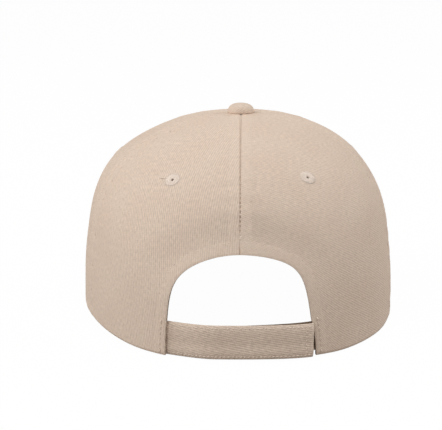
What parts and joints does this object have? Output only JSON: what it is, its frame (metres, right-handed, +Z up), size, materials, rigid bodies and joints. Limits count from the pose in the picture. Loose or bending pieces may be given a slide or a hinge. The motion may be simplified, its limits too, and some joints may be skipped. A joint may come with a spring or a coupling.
{
  "type": "baseball cap",
  "caption": "Khaki cotton twill baseball cap: panelled round crown with covered top button and embroidered eyelets, curved visor, and arched back opening with a hook-and-loop strap.",
  "frame": {"origin": "centre of the head opening, straight under the top button, on the plane the cap rests on", "axes": "+Z up through the button, +Y forwards along the visor, +X to the wearer's right"},
  "size_m": [0.1878, 0.2667, 0.1267],
  "materials": {
    "twill": "khaki cotton twill, matte",
    "lining_tape": "plain woven tape",
    "eyelet_thread": "embroidery thread, slight sheen",
    "buckram": "open-weave stiffened cotton",
    "sweatband": "soft cotton twill",
    "visor_board": "moulded sheet",
    "button_metal": "pressed, plain",
    "hook_tape": "nylon hook tape",
    "loop_tape": "nylon loop tape"
  },
  "bodies": {
    "cap": {"back_left_panel": "twill", "back_right_panel": "twill", "side_left_panel": "twill", "side_right_panel": "twill", "front_left_panel": "twill", "front_right_panel": "twill", "visor_top_cover": "twill", "visor_under_cover": "twill", "button_cover": "twill", "hook_strap_root": "twill", "loop_strap_root": "twill", "back_center_seam_tape": "lining_tape", "back_left_seam_tape": "lining_tape", "back_right_seam_tape": "lining_tape", "front_center_seam_tape": "lining_tape", "front_left_seam_tape": "lining_tape", "front_right_seam_tape": "lining_tape", "arch_facing": "lining_tape", "back_left_eyelet": "eyelet_thread", "back_right_eyelet": "eyelet_thread", "side_left_eyelet": "eyelet_thread", "side_right_eyelet": "eyelet_thread", "front_left_eyelet": "eyelet_thread", "front_right_eyelet": "eyelet_thread", "front_left_buckram": "buckram", "front_right_buckram": "buckram", "sweatband": "sweatband", "visor_board": "visor_board", "button_shell": "button_metal", "button_post": "button_metal"},
    "hook_strap": {"hook_strap": "twill", "hook_tape": "hook_tape"},
    "loop_strap": {"loop_strap": "twill", "loop_tape": "loop_tape"}
  },
  "joints": [
    {"name": "hook_strap_peel", "type": "hinge", "parent": "cap", "child": "hook_strap", "pos_m": [-0.03925, -0.08877, 0.00965], "axis": [0, 0, -1], "range_deg": [0, 110]},
    {"name": "loop_strap_fold", "type": "hinge", "parent": "cap", "child": "loop_strap", "pos_m": [0.03775, -0.08572, 0.01005], "axis": [0, 0, -1], "range_deg": [0, 60]}
  ]
}
